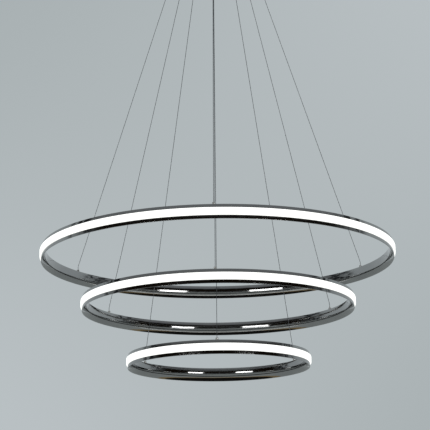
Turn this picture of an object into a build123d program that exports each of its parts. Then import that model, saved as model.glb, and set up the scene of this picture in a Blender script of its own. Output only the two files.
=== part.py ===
"""Ring chandelier: a ceiling canopy, nine suspension wires and three lit rings, one below the other.

Millimetres, +Z up. The origin is on the ceiling, at the middle of the mounting plate, and the
rings hang below it. The viewer stands at -Y. Each ring hangs on three wires, one at the front
and one at each side of the back.
"""

import os
from math import cos, pi, radians, sin
from typing import NamedTuple

from build123d import *

os.makedirs("parts", exist_ok=True)

# The canopy: a spun pan that a steel plate holds up against the ceiling.
canopy_diameter = 280.0
canopy_depth = 45.0
canopy_wall = 1.2
canopy_edge_radius = 8.0
plate_diameter = 240.0
plate_thickness = 2.0
cable_hole_diameter = 20.0
ceiling_screw_spacing = 120.0
ceiling_slot_width = 5.5
ceiling_slot_length = 12.0
stud_diameter = 5.0
stud_spacing = 224.0
stud_tail = 8.0
stud_flange_diameter = 11.0
stud_flange_thickness = 1.5
cap_nut_diameter = 12.0
cap_nut_height = 12.0

# The three drivers hang under the plate, between the three lines of wires.
driver_length = 88.0
driver_width = 40.0
driver_height = 22.0
driver_radius = 80.0
driver_corner_radius = 2.0
driver_tab_length = 8.0
driver_tab_width = 20.0
driver_tab_thickness = 2.5
driver_screw_diameter = 3.0
driver_screw_head_diameter = 5.6
driver_screw_head_height = 2.0

# Supply side: terminal block, earth screw and leads.
block_length = 34.0
block_width = 18.0
block_height = 13.0
block_offset = 24.0
block_pitch = 10.0
block_wire_hole_diameter = 3.2
block_screw_well_diameter = 3.8
block_screw_well_depth = 5.0
block_corner_radius = 0.8
earth_screw_diameter = 4.0
earth_screw_head_diameter = 7.6
earth_screw_head_height = 2.6
earth_washer_diameter = 9.0
earth_washer_thickness = 0.8
earth_screw_x = -22.0
earth_screw_y = -20.0
mains_lead_diameter = 5.0
mains_lead_bend = 10.0
mains_lead_depth = 9.0
mains_lead_reach = 34.0
output_lead_diameter = 2.2
output_lead_bend = 4.0
output_lead_depth = 15.0
output_lead_stub = 7.0

# Wires and the grippers that hold them under the canopy.
wire_diameter = 1.2
wire_bend = 10.0
wire_clearance = 0.2
wire_tail = 4.0
wire_straight = 4.0
stem_diameter = 8.0
stem_length = 18.0
stem_above_barrel = 14.0
barrel_diameter = 12.0
barrel_length = 22.0
barrel_chamfer = 0.6
chamber_length = 10.0
cone_length = 6.5
cone_end_radius = 2.65
thread_gap = 0.05
plunger_diameter = 5.0
plunger_length = 16.0
plunger_drop = 4.0
plunger_collar_diameter = 6.8
plunger_collar_length = 2.5
plunger_gap = 0.1
ball_diameter = 2.0
ball_gap = 0.06
ball_hole_gap = 0.05
ball_count = 3
ball_height = 5.9
spring_wire_diameter = 0.5
spring_diameter = 4.8
spring_turns = 4
spring_gap = 0.1
bush_flange_diameter = 13.0
bush_flange_thickness = 1.0
bush_sleeve_wall = 0.55
bush_gap = 0.1
locknut_width = 13.0
locknut_thickness = 4.0

# The rings: outer diameter over the light, and how far each hangs below the canopy.
large_diameter = 800.0
middle_diameter = 615.0
small_diameter = 410.0
large_drop = 808.0
middle_drop = 919.0
small_drop = 1047.0
large_exit_radius = 87.0
middle_exit_radius = 61.0
small_exit_radius = 36.0
large_chip_count = 120
middle_chip_count = 96
small_chip_count = 60

# The band that every ring is bent from, as its cross-section.
band_height = 30.0
band_depth = 10.5
band_wall = 1.5
top_lip = 7.0
bottom_lip = 7.5
inner_bulge = 0.9
bevel_height = 10.0
bevel_bulge = 0.8
bevel_foot = 1.5
groove_height = 1.2
groove_depth = 2.4
cavity_inset = 2.4
cavity_knee_inset = 5.0
cavity_knee_height = 10.4
cavity_floor = 4.2
cavity_shoulder = 14.0

# The light inside the band.
diffuser_proud = 3.0
diffuser_gap = 0.1
diffuser_foot = 1.2
diffuser_grip = 2.0
foot_gap = 0.3
diffuser_round = 2.0
strip_width = 8.0
strip_thickness = 0.4
strip_gap = 0.1
strip_height = 14.4
chip_length = 3.5
chip_width = 2.8
chip_thickness = 0.8
chip_gap = 0.05

# Where a wire enters a ring.
nipple_inset = 4.8
nipple_diameter = 6.0
nipple_height = 4.2
nipple_chamfer = 1.2
nipple_shank_diameter = 3.0
nipple_shank_length = 6.8
nipple_bush_diameter = 7.0
nipple_bush_thickness = 0.8
nipple_bush_wall = 0.6
nipple_nut_width = 5.5
nipple_nut_thickness = 2.4
nipple_gap = 0.05
stop_diameter = 3.0
stop_length = 5.0
feed_lead_diameter = 1.0
feed_lead_bend = 1.2
feed_lead_drop = 2.4

# The three lines of wires, seen from above: degrees from +X.
WIRE_LINES = {"front": -90.0, "right": 30.0, "left": 150.0}


class Ring(NamedTuple):
    """One ring: its name, its outer diameter, its drop, its wires' radius at the canopy."""

    size: str
    diameter: float
    drop: float
    exit_radius: float
    chip_count: int
    driver_line: float
    fed_wires: tuple

    @property
    def top(self):
        return -canopy_depth - self.drop

    @property
    def bottom(self):
        return self.top - band_height

    @property
    def metal_radius(self):
        return self.diameter / 2 - diffuser_proud

    @property
    def inner_radius(self):
        return self.metal_radius - band_depth

    @property
    def wire_radius(self):
        return self.metal_radius - nipple_inset


RINGS = [
    Ring("large", large_diameter, large_drop, large_exit_radius, large_chip_count, 90.0, ("right", "left")),
    Ring("middle", middle_diameter, middle_drop, middle_exit_radius, middle_chip_count, 210.0, ("left", "front")),
    Ring("small", small_diameter, small_drop, small_exit_radius, small_chip_count, 330.0, ("front", "right")),
]


def plan(radius, angle):
    """The point at this radius and angle, seen from above."""
    return radius * cos(radians(angle)), radius * sin(radians(angle))


def polar_plan(radius, angle, z):
    """The same point, at a height."""
    return (*plan(radius, angle), z)


gripper_spots = [plan(ring.exit_radius, angle) for ring in RINGS for angle in WIRE_LINES.values()]
driver_half = driver_length / 2 + driver_tab_length

# Heights in the canopy.
canopy_underside = -canopy_depth
canopy_floor = canopy_underside + canopy_wall
barrel_top = canopy_underside - bush_flange_thickness
barrel_bottom = barrel_top - barrel_length
stem_top = barrel_top + stem_above_barrel
stem_bottom = stem_top - stem_length
plunger_bottom = barrel_bottom - plunger_drop
plunger_top = plunger_bottom + plunger_length
wire_top = stem_top + wire_tail
wire_bore_radius = wire_diameter / 2 + wire_clearance
wire_section = pi * (wire_diameter / 2) ** 2

# ---------------------------------------------------------------- mounting plate
with BuildPart() as mounting_plate:
    with BuildSketch(Plane.XY):
        Circle(plate_diameter / 2)
        Circle(cable_hole_diameter / 2, mode=Mode.SUBTRACT)
        with GridLocations(ceiling_screw_spacing, 1, 2, 1):
            SlotOverall(ceiling_slot_length, ceiling_slot_width, mode=Mode.SUBTRACT)
        for ring in RINGS:
            with Locations(Location((0, 0, 0), (0, 0, ring.driver_line))):
                with Locations((driver_radius, 0)):
                    with GridLocations(1, 2 * driver_half - driver_tab_length, 1, 2):
                        Circle(driver_screw_diameter / 2 + thread_gap, mode=Mode.SUBTRACT)
        with Locations((earth_screw_x, earth_screw_y)):
            Circle(earth_screw_diameter / 2 + thread_gap, mode=Mode.SUBTRACT)
    extrude(amount=-plate_thickness)
mounting_plate.part.label = "mounting_plate"
export_step(mounting_plate.part, "parts/mounting_plate.step")

with BuildPart() as plate_studs:
    with BuildSketch(Plane.XY.offset(-plate_thickness)):
        with GridLocations(1, stud_spacing, 1, 2):
            Circle(stud_flange_diameter / 2)
    extrude(amount=-stud_flange_thickness)
    with BuildSketch(Plane.XY.offset(-plate_thickness)):
        with GridLocations(1, stud_spacing, 1, 2):
            Circle(stud_diameter / 2)
    extrude(amount=canopy_underside + plate_thickness - stud_tail)
plate_studs.part.label = "plate_studs"
export_step(plate_studs.part, "parts/plate_studs.step")

# ---------------------------------------------------------------- canopy pan
canopy_radius = canopy_diameter / 2
canopy_inner_radius = canopy_radius - canopy_wall
canopy_flat_radius = canopy_radius - canopy_edge_radius
edge_mid = canopy_edge_radius * sin(radians(45))
inner_edge_mid = (canopy_edge_radius - canopy_wall) * sin(radians(45))
edge_centre = canopy_underside + canopy_edge_radius
with BuildPart() as canopy_pan:
    with BuildSketch(Plane.XZ):
        with BuildLine():
            Polyline((0, canopy_floor), (0, canopy_underside), (canopy_flat_radius, canopy_underside))
            ThreePointArc(
                (canopy_flat_radius, canopy_underside),
                (canopy_flat_radius + edge_mid, edge_centre - edge_mid),
                (canopy_radius, edge_centre),
            )
            Polyline(
                (canopy_radius, edge_centre),
                (canopy_radius, 0),
                (canopy_inner_radius, 0),
                (canopy_inner_radius, edge_centre),
            )
            ThreePointArc(
                (canopy_inner_radius, edge_centre),
                (canopy_flat_radius + inner_edge_mid, edge_centre - inner_edge_mid),
                (canopy_flat_radius, canopy_floor),
            )
            Line((canopy_flat_radius, canopy_floor), (0, canopy_floor))
        make_face()
    revolve(axis=Axis.Z)
    with BuildSketch(Plane.XY.offset(canopy_underside)):
        with Locations(*gripper_spots):
            Circle(stem_diameter / 2 + thread_gap + bush_sleeve_wall + bush_gap)
        with GridLocations(1, stud_spacing, 1, 2):
            Circle(stud_diameter / 2 + bush_gap)
    extrude(amount=canopy_wall, mode=Mode.SUBTRACT)
canopy_pan.part.label = "canopy_pan"
export_step(canopy_pan.part, "parts/canopy_pan.step")

# A domed nut on each stud, under the pan.
dome_height = cap_nut_diameter / 2
with BuildPart() as cap_nut:
    with BuildSketch(Plane.XZ):
        with BuildLine():
            Polyline(
                (0, canopy_underside),
                (cap_nut_diameter / 2, canopy_underside),
                (cap_nut_diameter / 2, canopy_underside - cap_nut_height + dome_height),
            )
            ThreePointArc(
                (cap_nut_diameter / 2, canopy_underside - cap_nut_height + dome_height),
                (
                    cap_nut_diameter / 2 * cos(radians(45)),
                    canopy_underside - cap_nut_height + dome_height * (1 - sin(radians(45))),
                ),
                (0, canopy_underside - cap_nut_height),
            )
            Line((0, canopy_underside - cap_nut_height), (0, canopy_underside))
        make_face()
    revolve(axis=Axis.Z)
    with BuildSketch(Plane.XY.offset(canopy_underside)):
        Circle(stud_diameter / 2 + thread_gap)
    extrude(amount=-stud_tail - bush_gap, mode=Mode.SUBTRACT)
with BuildPart() as cap_nuts:
    with GridLocations(1, stud_spacing, 1, 2):
        add(cap_nut.part)
cap_nuts.part.label = "cap_nuts"
export_step(cap_nuts.part, "parts/cap_nuts.step")

# ---------------------------------------------------------------- drivers
driver_screw_reach = driver_half - driver_tab_length / 2
for ring in RINGS:
    driver_plane = Plane.XY.offset(-plate_thickness).rotated((0, 0, ring.driver_line))
    with BuildPart() as driver:
        with BuildSketch(driver_plane):
            with Locations((driver_radius, 0)):
                Rectangle(driver_width, driver_length)
        extrude(amount=-driver_height)
        fillet(driver.edges().filter_by(Axis.Z), driver_corner_radius)
        fillet(driver.faces().sort_by(Axis.Z)[0].edges(), driver_corner_radius / 2)
        with BuildSketch(driver_plane):
            with Locations((driver_radius, 0)):
                Rectangle(driver_tab_width, 2 * driver_half)
                with GridLocations(1, 2 * driver_screw_reach, 1, 2):
                    Circle(driver_screw_diameter / 2 + bush_gap, mode=Mode.SUBTRACT)
        extrude(amount=-driver_tab_thickness)
    driver.part.label = f"led_driver_{ring.size}"
    export_step(driver.part, f"parts/led_driver_{ring.size}.step")

with BuildPart() as driver_screws:
    for ring in RINGS:
        driver_plane = Plane.XY.offset(-plate_thickness).rotated((0, 0, ring.driver_line))
        with BuildSketch(driver_plane.offset(-driver_tab_thickness)):
            with Locations((driver_radius, 0)):
                with GridLocations(1, 2 * driver_screw_reach, 1, 2):
                    Circle(driver_screw_head_diameter / 2)
        extrude(amount=-driver_screw_head_height)
        with BuildSketch(driver_plane.offset(-driver_tab_thickness)):
            with Locations((driver_radius, 0)):
                with GridLocations(1, 2 * driver_screw_reach, 1, 2):
                    Circle(driver_screw_diameter / 2)
        extrude(amount=driver_tab_thickness + plate_thickness * 0.9)
driver_screws.part.label = "driver_screws"
export_step(driver_screws.part, "parts/driver_screws.step")

# ---------------------------------------------------------------- supply side
with BuildPart() as terminal_block:
    with BuildSketch(Plane.XY.offset(-plate_thickness)):
        with Locations((0, block_offset)):
            Rectangle(block_length, block_width)
    extrude(amount=-block_height)
    fillet(terminal_block.edges().filter_by(Axis.Z), block_corner_radius)
    with BuildSketch(Plane.XY.offset(-plate_thickness - block_height)):
        with Locations((0, block_offset)):
            with GridLocations(block_pitch, 1, 3, 1):
                Circle(block_screw_well_diameter / 2)
    extrude(amount=block_screw_well_depth, mode=Mode.SUBTRACT)
    with BuildSketch(Plane.XZ.offset(block_width / 2 - block_offset)):
        with Locations((0, -plate_thickness - block_height / 2)):
            with GridLocations(block_pitch, 1, 3, 1):
                Circle(block_wire_hole_diameter / 2)
    extrude(amount=-block_width * 0.4, mode=Mode.SUBTRACT)
terminal_block.part.label = "terminal_block"
export_step(terminal_block.part, "parts/terminal_block.step")

with BuildPart() as earth_screw:
    washer_underside = -plate_thickness - earth_washer_thickness
    with BuildSketch(Plane.XY.offset(-plate_thickness)):
        with Locations((earth_screw_x, earth_screw_y)):
            Circle(earth_washer_diameter / 2)
            Circle(earth_screw_diameter / 2 + bush_gap, mode=Mode.SUBTRACT)
    extrude(amount=-earth_washer_thickness)
    with BuildSketch(Plane.XY.offset(washer_underside)):
        with Locations((earth_screw_x, earth_screw_y)):
            Circle(earth_screw_head_diameter / 2)
    extrude(amount=-earth_screw_head_height)
    with BuildSketch(Plane.XY.offset(washer_underside)):
        with Locations((earth_screw_x, earth_screw_y)):
            Circle(earth_screw_diameter / 2)
    extrude(amount=earth_washer_thickness + plate_thickness * 0.9)
earth_screw.part.label = "earth_screw"
export_step(earth_screw.part, "parts/earth_screw.step")

# A sheathed lead runs from the block to the inner side of each driver, close under the plate.
mains_lead_z = -plate_thickness - mains_lead_depth + mains_lead_diameter / 2
driver_inner_radius = driver_radius - driver_width / 2
block_end = block_length / 2
mains_routes = []
for side, driver_line in ((-1, 210.0), (1, 330.0)):
    port = polar_plan(driver_inner_radius, driver_line, mains_lead_z)
    corner_y = port[1] + (abs(port[0]) - mains_lead_reach) * sin(radians(30)) / cos(radians(30))
    mains_routes.append(
        [
            (side * block_end, block_offset, mains_lead_z),
            (side * mains_lead_reach, block_offset, mains_lead_z),
            (side * mains_lead_reach, corner_y, mains_lead_z),
            port,
        ]
    )
with BuildPart() as mains_leads:
    with BuildSketch(Plane.XZ.offset(-block_offset - block_width / 2)):
        with Locations((0, mains_lead_z)):
            Circle(mains_lead_diameter / 2)
    extrude(amount=block_offset + block_width / 2 - driver_inner_radius)
    for route in mains_routes:
        with BuildLine() as lead_line:
            FilletPolyline(*route, radius=mains_lead_bend)
        with BuildSketch(Plane(origin=route[0], z_dir=lead_line.line % 0)):
            Circle(mains_lead_diameter / 2)
        sweep(path=lead_line.line)
mains_leads.part.label = "mains_leads"
export_step(mains_leads.part, "parts/mains_leads.step")


def output_route(ring, wire, elbows):
    """A lead's way from the end of the ring's driver to the top of one of its wires."""
    z = -plate_thickness - output_lead_depth
    away = (WIRE_LINES[wire] - ring.driver_line + 180.0) % 360.0 - 180.0
    end = 1.0 if away > 0 else -1.0
    centre = plan(driver_radius, ring.driver_line)
    along = plan(end, ring.driver_line + 90.0)
    reach = driver_length / 2
    outside = reach + output_lead_stub
    target = plan(ring.exit_radius, WIRE_LINES[wire])
    return [
        (centre[0] + along[0] * reach, centre[1] + along[1] * reach, z),
        (centre[0] + along[0] * outside, centre[1] + along[1] * outside, z),
        *[(x, y, z) for x, y in elbows],
        (*target, z),
        (*target, wire_top),
    ]


# Two leads of the small ring's driver go round an elbow, the others go straight across.
lead_elbows = {("small", "right"): [(80.0, 18.0)], ("small", "front"): [(25.0, -80.0)]}
with BuildPart() as output_leads:
    for ring in RINGS:
        for wire in ring.fed_wires:
            route = output_route(ring, wire, lead_elbows.get((ring.size, wire), []))
            with BuildLine() as lead_line:
                FilletPolyline(*route, radius=output_lead_bend)
            with BuildSketch(Plane(origin=route[0], z_dir=lead_line.line % 0)):
                Circle(output_lead_diameter / 2)
            sweep(path=lead_line.line)
output_leads.part.label = "output_leads"
export_step(output_leads.part, "parts/output_leads.step")

# ---------------------------------------------------------------- wire grippers
stem_radius = stem_diameter / 2
screw_bore_radius = stem_radius + thread_gap
with BuildPart() as stem:
    with BuildSketch(Plane.XY.offset(stem_bottom)):
        Circle(stem_radius)
        Circle(wire_bore_radius, mode=Mode.SUBTRACT)
    extrude(amount=stem_length)
with BuildPart() as gripper_stems:
    with Locations(*gripper_spots):
        add(stem.part)
gripper_stems.part.label = "gripper_stems"
export_step(gripper_stems.part, "parts/gripper_stems.step")

# The barrel's chamber narrows downwards, so that the wire's pull wedges the balls.
exit_hole_radius = plunger_diameter / 2 + plunger_gap
chamber_bottom = stem_bottom - chamber_length
cone_bottom = chamber_bottom - cone_length
with BuildPart() as barrel:
    with BuildSketch(Plane.XZ):
        with BuildLine():
            Polyline(
                (screw_bore_radius, barrel_top),
                (barrel_diameter / 2, barrel_top),
                (barrel_diameter / 2, barrel_bottom + barrel_chamfer),
                (barrel_diameter / 2 - barrel_chamfer, barrel_bottom),
                (exit_hole_radius, barrel_bottom),
                (exit_hole_radius, cone_bottom),
                (cone_end_radius, cone_bottom),
                (screw_bore_radius, chamber_bottom),
                close=True,
            )
        make_face()
    revolve(axis=Axis.Z)
with BuildPart() as gripper_barrels:
    with Locations(*gripper_spots):
        add(barrel.part)
gripper_barrels.part.label = "gripper_barrels"
export_step(gripper_barrels.part, "parts/gripper_barrels.step")

with BuildPart() as bush:
    with BuildSketch(Plane.XY.offset(barrel_top)):
        Circle(bush_flange_diameter / 2)
        Circle(screw_bore_radius, mode=Mode.SUBTRACT)
    extrude(amount=bush_flange_thickness)
    with BuildSketch(Plane.XY.offset(canopy_underside)):
        Circle(screw_bore_radius + bush_sleeve_wall)
        Circle(screw_bore_radius, mode=Mode.SUBTRACT)
    extrude(amount=canopy_wall - bush_gap)
    with BuildSketch(Plane.XY.offset(canopy_floor)):
        Circle(bush_flange_diameter / 2)
        Circle(screw_bore_radius, mode=Mode.SUBTRACT)
    extrude(amount=bush_flange_thickness)
with BuildPart() as gripper_bushes:
    with Locations(*gripper_spots):
        add(bush.part)
gripper_bushes.part.label = "gripper_bushes"
export_step(gripper_bushes.part, "parts/gripper_bushes.step")

with BuildPart() as gripper_locknuts:
    with BuildSketch(Plane.XY.offset(canopy_floor + bush_flange_thickness)):
        with Locations(*gripper_spots):
            RegularPolygon(locknut_width / 2, 6, major_radius=False)
            Circle(screw_bore_radius, mode=Mode.SUBTRACT)
    extrude(amount=locknut_thickness)
gripper_locknuts.part.label = "gripper_locknuts"
export_step(gripper_locknuts.part, "parts/gripper_locknuts.step")

# The spring fills the room between the stem and the plunger's collar.
spring_room = stem_bottom - plunger_top
spring_rise = spring_room - spring_wire_diameter - 2 * spring_gap
spring_mean_radius = (spring_diameter - spring_wire_diameter) / 2
spring_start = plunger_top + spring_gap + spring_wire_diameter / 2
with BuildPart() as spring:
    with BuildLine() as coil:
        Helix(spring_rise / spring_turns, spring_rise, spring_mean_radius, center=(0, 0, spring_start))
    with BuildSketch(Plane(origin=coil.line @ 0, z_dir=coil.line % 0)):
        Circle(spring_wire_diameter / 2)
    sweep(path=coil.line, is_frenet=True)
with BuildPart() as gripper_springs:
    with Locations(*gripper_spots):
        add(spring.part)
gripper_springs.part.label = "gripper_springs"
export_step(gripper_springs.part, "parts/gripper_springs.step")

# The plunger carries three balls in a ring of holes. Pushed up, it frees the wire.
ball_radius = ball_diameter / 2
ball_circle = wire_diameter / 2 + ball_gap + ball_radius
ball_z = plunger_bottom + ball_height
with BuildPart() as cage:
    with BuildSketch(Plane.XY.offset(plunger_bottom)):
        Circle(plunger_diameter / 2)
        Circle(wire_bore_radius, mode=Mode.SUBTRACT)
    extrude(amount=plunger_length)
    with BuildSketch(Plane.XY.offset(plunger_top - plunger_collar_length)):
        Circle(plunger_collar_diameter / 2)
        Circle(wire_bore_radius, mode=Mode.SUBTRACT)
    extrude(amount=plunger_collar_length)
    with Locations((0, 0, ball_z)):
        with PolarLocations(wire_bore_radius / 2, ball_count):
            Cylinder(
                ball_radius + ball_hole_gap,
                plunger_diameter / 2,
                rotation=(0, 90, 0),
                align=(Align.CENTER, Align.CENTER, Align.MIN),
                mode=Mode.SUBTRACT,
            )
with BuildPart() as balls:
    with Locations((0, 0, ball_z)):
        with PolarLocations(ball_circle, ball_count):
            Sphere(ball_radius)

for ring in RINGS:
    for side, angle in WIRE_LINES.items():
        with BuildPart() as plunger:
            with Locations(plan(ring.exit_radius, angle)):
                add(cage.part)
                add(balls.part)
        plunger.part.label = f"plunger_{ring.size}_{side}"
        export_step(plunger.part, f"parts/plunger_{ring.size}_{side}.step")

# ---------------------------------------------------------------- suspension wires
nipple_top_gap = nipple_bush_thickness + nipple_height
shank_bottom_drop = nipple_shank_length - nipple_bush_thickness
wire_end_drop = shank_bottom_drop + stop_length


def wire_route(ring, angle):
    """Down through the gripper, straight to the ring, and down through the ring's nipple."""
    bend_top = plunger_bottom - wire_straight
    bend_low = ring.top + nipple_top_gap + wire_straight
    return [
        polar_plan(ring.exit_radius, angle, wire_top),
        polar_plan(ring.exit_radius, angle, bend_top),
        polar_plan(ring.wire_radius, angle, bend_low),
        polar_plan(ring.wire_radius, angle, ring.top - wire_end_drop),
    ]


for ring in RINGS:
    for side, angle in WIRE_LINES.items():
        route = wire_route(ring, angle)
        with BuildPart() as wire:
            with BuildLine() as wire_line:
                FilletPolyline(*route, radius=wire_bend)
            with BuildSketch(Plane(origin=route[0], z_dir=wire_line.line % 0)):
                Circle(wire_diameter / 2)
            sweep(path=wire_line.line)
        wire.part.label = f"wire_{ring.size}_{side}"
        export_step(wire.part, f"parts/wire_{ring.size}_{side}.step")
        length = sum(edge.length for edge in wire_line.edges())
        filled = wire.part.volume / (length * wire_section)
        print(f"wire_{ring.size}_{side}: {length:.1f} mm, bends of {wire_bend:.0f} mm, {filled:.3f} full")

# ---------------------------------------------------------------- rings
hole_radius = nipple_shank_diameter / 2 + nipple_gap + nipple_bush_wall + nipple_gap
for ring in RINGS:
    inner = ring.inner_radius
    outer = ring.metal_radius
    low = ring.bottom
    high = ring.top
    groove_top = low + bevel_height + groove_height
    wall_mid = (high + groove_top) / 2
    bevel_inset = groove_depth - inner_bulge
    bevel_end = outer - bevel_foot
    nipple_spots = [plan(ring.wire_radius, angle) for angle in WIRE_LINES.values()]
    foot_outer = outer - band_wall - diffuser_gap
    foot_inner = foot_outer - diffuser_foot
    bevel_mid_r = (inner + bevel_inset + bevel_end) / 2 - bevel_bulge * 0.83
    bevel_mid_z = low + bevel_height / 2 - bevel_bulge * 0.56

    # The band: a bowed inner wall, a groove, a bowed bevel, and two lips round the light's slot.
    with BuildPart() as channel:
        with BuildSketch(Plane.XZ):
            with BuildLine():
                Line((outer, high), (inner + inner_bulge, high))
                ThreePointArc(
                    (inner + inner_bulge, high), (inner, wall_mid), (inner + inner_bulge, groove_top)
                )
                Polyline(
                    (inner + inner_bulge, groove_top),
                    (inner + groove_depth, groove_top),
                    (inner + groove_depth, low + bevel_height),
                    (inner + bevel_inset, low + bevel_height),
                )
                ThreePointArc(
                    (inner + bevel_inset, low + bevel_height), (bevel_mid_r, bevel_mid_z), (bevel_end, low)
                )
                Polyline(
                    (bevel_end, low),
                    (outer, low),
                    (outer, low + bottom_lip),
                    (outer - band_wall, low + bottom_lip),
                    (outer - band_wall, low + cavity_floor),
                    (foot_inner - foot_gap, low + cavity_floor),
                    (inner + cavity_knee_inset, low + cavity_knee_height),
                    (inner + cavity_inset, low + cavity_shoulder),
                    (inner + cavity_inset, high - band_wall),
                    (outer - band_wall, high - band_wall),
                    (outer - band_wall, high - top_lip),
                    (outer, high - top_lip),
                    (outer, high),
                )
            make_face()
        revolve(axis=Axis.Z)
        with BuildSketch(Plane.XY.offset(high)):
            with Locations(*nipple_spots):
                Circle(hole_radius)
        extrude(amount=-band_wall, mode=Mode.SUBTRACT)
    channel.part.label = f"channel_{ring.size}"
    export_step(channel.part, f"parts/channel_{ring.size}.step")

    # The opal strip stands proud of the slot, and its foot grips behind both lips.
    face_low = low + bottom_lip + diffuser_gap
    face_high = high - top_lip - diffuser_gap
    with BuildPart() as diffuser:
        with BuildSketch(Plane.XZ):
            with BuildLine():
                Polyline(
                    (foot_inner, face_low - diffuser_grip),
                    (foot_outer, face_low - diffuser_grip),
                    (foot_outer, face_low),
                    (outer + diffuser_proud, face_low),
                    (outer + diffuser_proud, face_high),
                    (foot_outer, face_high),
                    (foot_outer, face_high + diffuser_grip),
                    (foot_inner, face_high + diffuser_grip),
                    close=True,
                )
            face = make_face()
            fillet(face.vertices().group_by(Axis.X)[-1], diffuser_round)
        revolve(axis=Axis.Z)
    diffuser.part.label = f"diffuser_{ring.size}"
    export_step(diffuser.part, f"parts/diffuser_{ring.size}.step")

    # The printed strip lies on the cavity's back wall, and its chips stand between the wires.
    strip_inner = inner + cavity_inset + strip_gap
    strip_middle = low + strip_height + strip_width / 2
    chip_radius = strip_inner + strip_thickness + chip_gap + chip_thickness / 2
    half_pitch = 180.0 / ring.chip_count
    with BuildPart() as led_strip:
        with BuildSketch(Plane.XZ):
            with Locations((strip_inner + strip_thickness / 2, strip_middle)):
                Rectangle(strip_thickness, strip_width)
        revolve(axis=Axis.Z)
        with Locations((0, 0, strip_middle)):
            with PolarLocations(chip_radius, ring.chip_count, start_angle=WIRE_LINES["front"] + half_pitch):
                Box(chip_thickness, chip_length, chip_width)
    led_strip.part.label = f"led_strip_{ring.size}"
    export_step(led_strip.part, f"parts/led_strip_{ring.size}.step")

    # Each wire ends in a nipple, insulated from the band and held by a nut inside it.
    bush_top = high + nipple_bush_thickness
    shank_radius = nipple_shank_diameter / 2
    with BuildPart() as nipple:
        with BuildSketch(Plane.XY.offset(bush_top)):
            Circle(nipple_diameter / 2)
        extrude(amount=nipple_height)
        chamfer(nipple.faces().sort_by(Axis.Z)[-1].edges(), nipple_chamfer)
        with BuildSketch(Plane.XY.offset(bush_top)):
            Circle(shank_radius)
        extrude(amount=-nipple_shank_length)
        with BuildSketch(Plane.XY.offset(bush_top - nipple_shank_length)):
            Circle(wire_bore_radius)
        extrude(amount=nipple_shank_length + nipple_height, mode=Mode.SUBTRACT)
    with BuildPart() as wire_nipples:
        with Locations(*nipple_spots):
            add(nipple.part)
    wire_nipples.part.label = f"wire_nipples_{ring.size}"
    export_step(wire_nipples.part, f"parts/wire_nipples_{ring.size}.step")

    flange_underside = high - band_wall
    with BuildPart() as nipple_bushes:
        with BuildSketch(Plane.XY.offset(high)):
            with Locations(*nipple_spots):
                Circle(nipple_bush_diameter / 2)
                Circle(shank_radius + nipple_gap, mode=Mode.SUBTRACT)
        extrude(amount=nipple_bush_thickness)
        with BuildSketch(Plane.XY.offset(high)):
            with Locations(*nipple_spots):
                Circle(shank_radius + nipple_gap + nipple_bush_wall)
                Circle(shank_radius + nipple_gap, mode=Mode.SUBTRACT)
        extrude(amount=-band_wall + bush_gap)
        with BuildSketch(Plane.XY.offset(flange_underside)):
            with Locations(*nipple_spots):
                Circle(nipple_nut_width / 2)
                Circle(shank_radius + nipple_gap, mode=Mode.SUBTRACT)
        extrude(amount=-nipple_bush_thickness)
    nipple_bushes.part.label = f"nipple_bushes_{ring.size}"
    export_step(nipple_bushes.part, f"parts/nipple_bushes_{ring.size}.step")

    nut_top = flange_underside - nipple_bush_thickness
    with BuildPart() as nipple_nuts:
        for angle in WIRE_LINES.values():
            nut_centre = polar_plan(ring.wire_radius, angle, nut_top)
            with BuildSketch(Plane(origin=nut_centre, x_dir=polar_plan(1, angle, 0), z_dir=(0, 0, 1))):
                RegularPolygon(nipple_nut_width / 2, 6, major_radius=False, rotation=30)
                Circle(shank_radius + nipple_gap, mode=Mode.SUBTRACT)
            extrude(amount=-nipple_nut_thickness)
    nipple_nuts.part.label = f"nipple_nuts_{ring.size}"
    export_step(nipple_nuts.part, f"parts/nipple_nuts_{ring.size}.step")

    # A crimped stop on the wire's end carries the ring.
    stop_top = high - shank_bottom_drop
    with BuildPart() as wire_stops:
        with BuildSketch(Plane.XY.offset(stop_top)):
            with Locations(*nipple_spots):
                Circle(stop_diameter / 2)
                Circle(wire_diameter / 2 + nipple_gap, mode=Mode.SUBTRACT)
        extrude(amount=-stop_length)
    wire_stops.part.label = f"wire_stops_{ring.size}"
    export_step(wire_stops.part, f"parts/wire_stops_{ring.size}.step")

    # Two of the wires feed the strip: a short lead runs from the stop to the strip's face.
    lead_top = stop_top - stop_length
    lead_low = lead_top - feed_lead_drop
    strip_face = strip_inner + strip_thickness
    with BuildPart() as feed_leads:
        for side in ring.fed_wires:
            angle = WIRE_LINES[side]
            route = [
                polar_plan(ring.wire_radius, angle, lead_top),
                polar_plan(ring.wire_radius, angle, lead_low),
                polar_plan(strip_face + chip_gap, angle, lead_low),
            ]
            with BuildLine() as lead_line:
                FilletPolyline(*route, radius=feed_lead_bend)
            with BuildSketch(Plane(origin=route[0], z_dir=lead_line.line % 0)):
                Circle(feed_lead_diameter / 2)
            sweep(path=lead_line.line)
    feed_leads.part.label = f"feed_leads_{ring.size}"
    export_step(feed_leads.part, f"parts/feed_leads_{ring.size}.step")
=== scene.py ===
"""Ring chandelier: three lit metal hoops on nine fine wires under a ceiling canopy.

Metres, +Z up, with the origin on the ceiling at the middle of the mounting plate. The viewer
stands at -Y, below the rings, and looks up at them.
"""

import logging
from collections.abc import Callable
from dataclasses import dataclass, field
from enum import Enum
from math import atan2, cos, hypot, pi, radians, sin

import bpy
from mathutils import Matrix, Vector

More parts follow.
